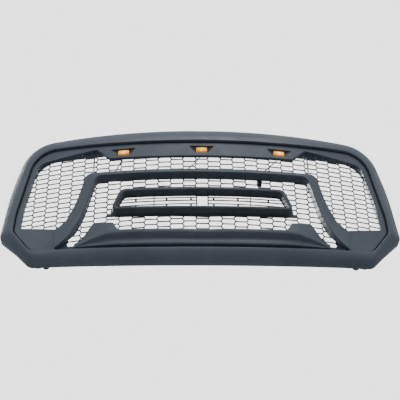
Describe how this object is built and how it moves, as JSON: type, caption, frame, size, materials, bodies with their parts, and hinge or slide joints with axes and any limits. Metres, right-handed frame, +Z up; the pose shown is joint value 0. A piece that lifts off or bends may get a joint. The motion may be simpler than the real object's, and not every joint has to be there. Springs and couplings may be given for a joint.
{
  "type": "front grille",
  "caption": "Curved pickup front grille: crowned surround, hexagon mesh, raised centre arch over a slatted slot, lower apron and amber marker lamps in the top bar.",
  "frame": {"origin": "middle of the four bolt inserts, on the plane of the mounting towers' end faces", "axes": "+X to the right as seen from in front, +Y from the grille back into the vehicle, +Z up"},
  "size_m": [1.2682, 0.2004, 0.5265],
  "materials": {
    "surround_plastic": "satin, fine grain",
    "structure_plastic": "as moulded, matt",
    "frame_plastic": "satin, fine grain",
    "arch_plastic": "satin, fine grain",
    "slot_plastic": "satin, fine grain",
    "grid_plastic": "satin",
    "apron_plastic": "satin, fine grain",
    "mesh_plastic": "satin",
    "lens_amber": "clear amber, polished",
    "housing_plastic": "matt",
    "board_laminate": "lacquered",
    "cap_plastic": "matt",
    "cable_rubber": "soft sheath",
    "connector_plastic": "semi-gloss",
    "clip_plastic": "matt",
    "insert_brass": "machined",
    "seal_foam": "closed-cell foam",
    "screw_steel": "zinc plated"
  },
  "bodies": {
    "root": {"outer_surround": "surround_plastic", "surround_bosses": "surround_plastic", "rear_carrier": "structure_plastic", "inner_frame": "frame_plastic", "centre_arch": "arch_plastic", "slot_surround": "slot_plastic", "slot_grid": "grid_plastic", "lower_apron": "apron_plastic", "trim_bosses": "arch_plastic", "mesh_left": "mesh_plastic", "mesh_centre": "mesh_plastic", "mesh_right": "mesh_plastic", "lamp_lens_left": "lens_amber", "lamp_lens_centre": "lens_amber", "lamp_lens_right": "lens_amber", "lamp_housing_left": "housing_plastic", "lamp_housing_centre": "housing_plastic", "lamp_housing_right": "housing_plastic", "lamp_board_left": "board_laminate", "lamp_board_centre": "board_laminate", "lamp_board_right": "board_laminate", "lamp_cap_left": "cap_plastic", "lamp_cap_centre": "cap_plastic", "lamp_cap_right": "cap_plastic", "lamp_lead_left": "cable_rubber", "lamp_lead_centre": "cable_rubber", "lamp_lead_right": "cable_rubber", "harness_trunk": "cable_rubber", "harness_connector": "connector_plastic", "harness_clips": "clip_plastic", "tower_upper_left": "structure_plastic", "tower_upper_right": "structure_plastic", "tower_lower_left": "structure_plastic", "tower_lower_right": "structure_plastic", "bolt_inserts": "insert_brass", "bonnet_tab_left": "structure_plastic", "bonnet_tab_right": "structure_plastic", "top_seal": "seal_foam", "surround_screws": "screw_steel", "frame_screws": "screw_steel", "mesh_screws": "screw_steel", "arch_screws": "screw_steel", "slot_screws": "screw_steel", "apron_screws": "screw_steel", "lamp_screws": "screw_steel", "tower_screws": "screw_steel", "tab_screws": "screw_steel"}
  },
  "joints": []
}
